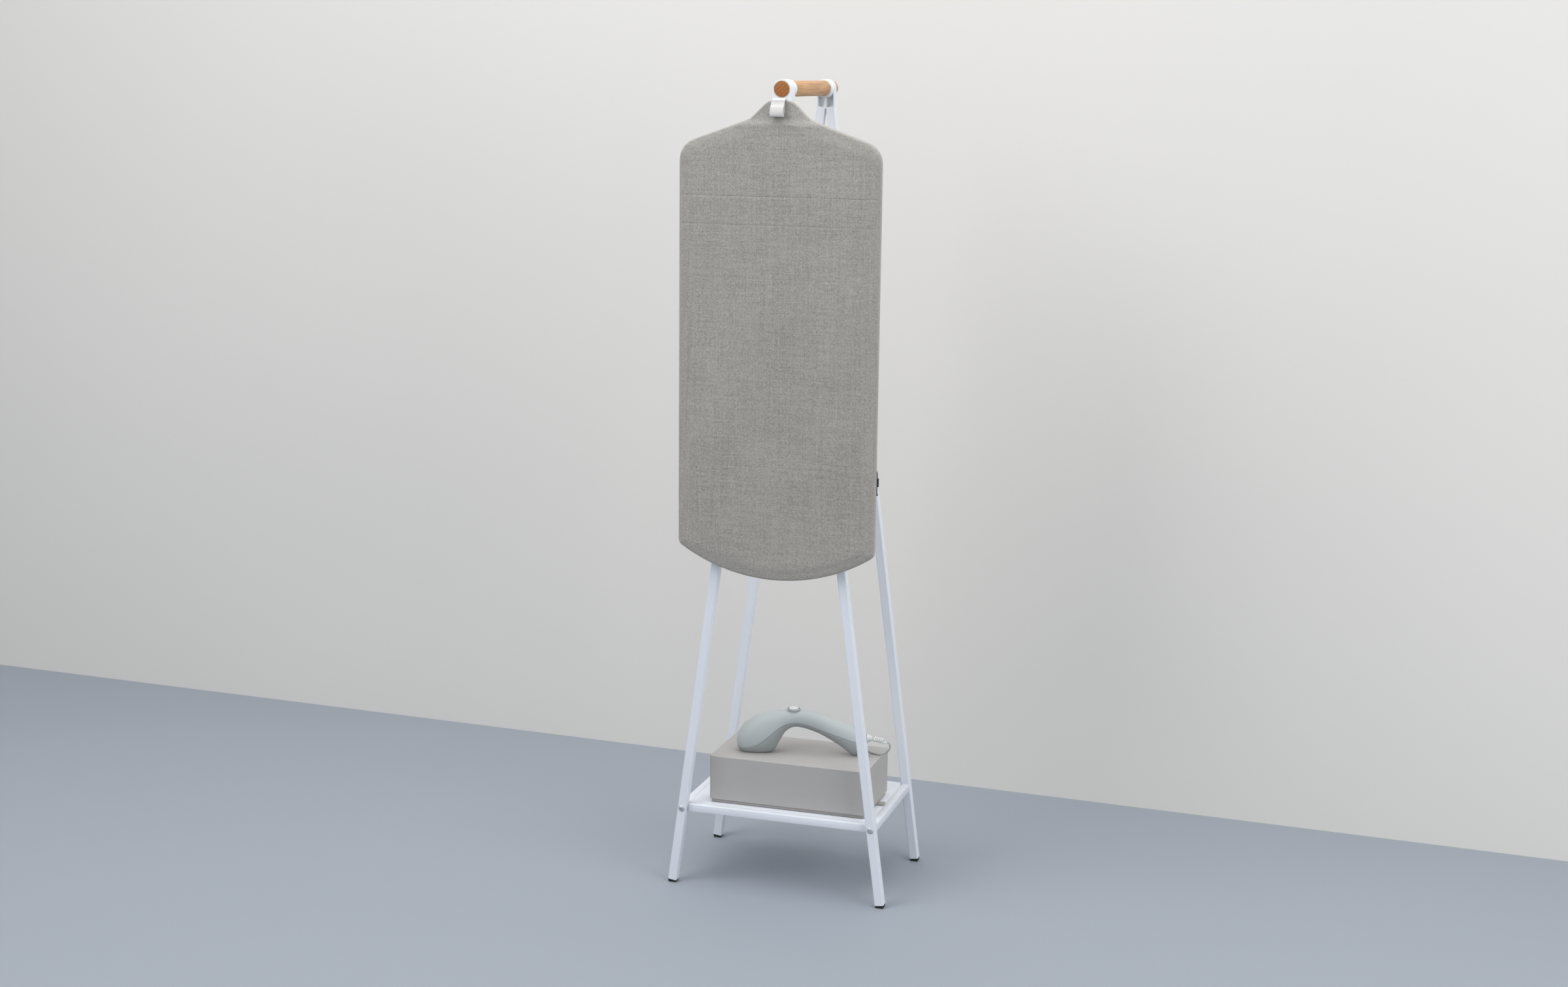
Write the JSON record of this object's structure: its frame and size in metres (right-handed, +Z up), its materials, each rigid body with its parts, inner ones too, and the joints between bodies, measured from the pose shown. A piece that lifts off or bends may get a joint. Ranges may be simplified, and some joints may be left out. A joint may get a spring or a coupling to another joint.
{
  "type": "garment steaming stand",
  "caption": "Four-legged clothes stand with a wooden carry bar, a padded hanging board to press garments against, and a shelf that holds a box steamer with a corded handset.",
  "frame": {"origin": "centre of the overall box at floor level", "axes": "+Z up, -Y towards the padded front of the board, +X to the right of someone who faces the board"},
  "size_m": [0.4562, 0.351, 1.6183],
  "materials": {
    "powder_coat": "satin powder coat",
    "black_rubber": "matte",
    "white_plastic": "satin",
    "zinc": "bright zinc",
    "beech": "oiled, end grain darker",
    "fibreboard": "raw",
    "foam": "soft",
    "melange_cloth": "fine melange weave",
    "white_webbing": "ribbed",
    "black_string": "braided",
    "black_plastic": "matte",
    "base_grey": "fine matte texture",
    "plinth_grey": "fine matte texture",
    "clear_plastic": "translucent",
    "circuit_green": "lacquered",
    "hose": "smooth",
    "handset_grey": "satin",
    "pale_rubber": "smooth",
    "grey_rubber": "smooth",
    "bare_aluminium": "brushed"
  },
  "bodies": {
    "stand": {"leg_front_left": "powder_coat", "leg_front_right": "powder_coat", "leg_rear_left": "powder_coat", "leg_rear_right": "powder_coat", "foot_front_left": "black_rubber", "foot_front_right": "black_rubber", "foot_rear_left": "black_rubber", "foot_rear_right": "black_rubber", "top_bracket_front": "white_plastic", "top_bracket_rear": "white_plastic", "bracket_screws": "zinc", "carry_bar": "beech", "shelf_rail_front": "powder_coat", "shelf_rail_rear": "powder_coat", "shelf_rail_left": "powder_coat", "shelf_rail_right": "powder_coat", "shelf_panel": "powder_coat", "shelf_bolts": "zinc", "shelf_bushes": "zinc"},
    "hanger": {"hanger_sleeve": "white_plastic"},
    "board": {"hanger_plate": "white_plastic", "hanger_screws": "zinc", "board_core": "fibreboard", "board_padding": "foam", "board_cover": "melange_cloth", "pull_tab": "white_webbing", "board_bumpers": "black_rubber", "drawstring": "black_string", "cord_lock": "black_plastic"},
    "base": {"base_cover": "base_grey", "base_plinth": "plinth_grey", "base_feet": "black_rubber", "base_screws": "zinc", "water_tank": "clear_plastic", "filler_neck": "base_grey", "pump": "black_plastic", "control_board": "circuit_green", "water_hoses": "hose", "mains_inlet": "black_plastic", "cord_gland": "handset_grey", "cord_lead": "grey_rubber"},
    "cap": {"filler_cap": "base_grey"},
    "handset": {"handset_upper_shell": "handset_grey", "handset_lower_shell": "handset_grey", "steam_plate": "bare_aluminium", "steam_chamber": "bare_aluminium", "button_boss": "handset_grey", "button_switch": "black_plastic", "strain_relief": "pale_rubber", "cord_curl": "pale_rubber"},
    "button": {"steam_button": "handset_grey"}
  },
  "joints": [
    {"name": "board_slide", "type": "slide", "parent": "stand", "child": "hanger", "axis": [0, -1, 0], "range_m": [0, 0.06]},
    {"name": "board_swing", "type": "hinge", "parent": "hanger", "child": "board", "pos_m": [0, -0.14845, 1.6], "axis": [0, 1, 0], "range_deg": [-12, 12]},
    {"name": "base_lift", "type": "slide", "parent": "stand", "child": "base", "axis": [0, 0, 1], "range_m": [0, 0.12]},
    {"name": "cap_turn", "type": "hinge", "parent": "base", "child": "cap", "pos_m": [-0.0365, 0.07, 0.2198], "axis": [0, 1, 0], "range_deg": [0, 90]},
    {"name": "handset_lift", "type": "slide", "parent": "base", "child": "handset", "axis": [0, 0, 1], "range_m": [0, 0.06], "deforming": ["cord_lead", "cord_curl"]},
    {"name": "button_press", "type": "slide", "parent": "handset", "child": "button", "axis": [0, 0, -1], "range_m": [0, 0.0015], "stiffness_N_per_m": 900, "springref_m": -0.001}
  ]
}
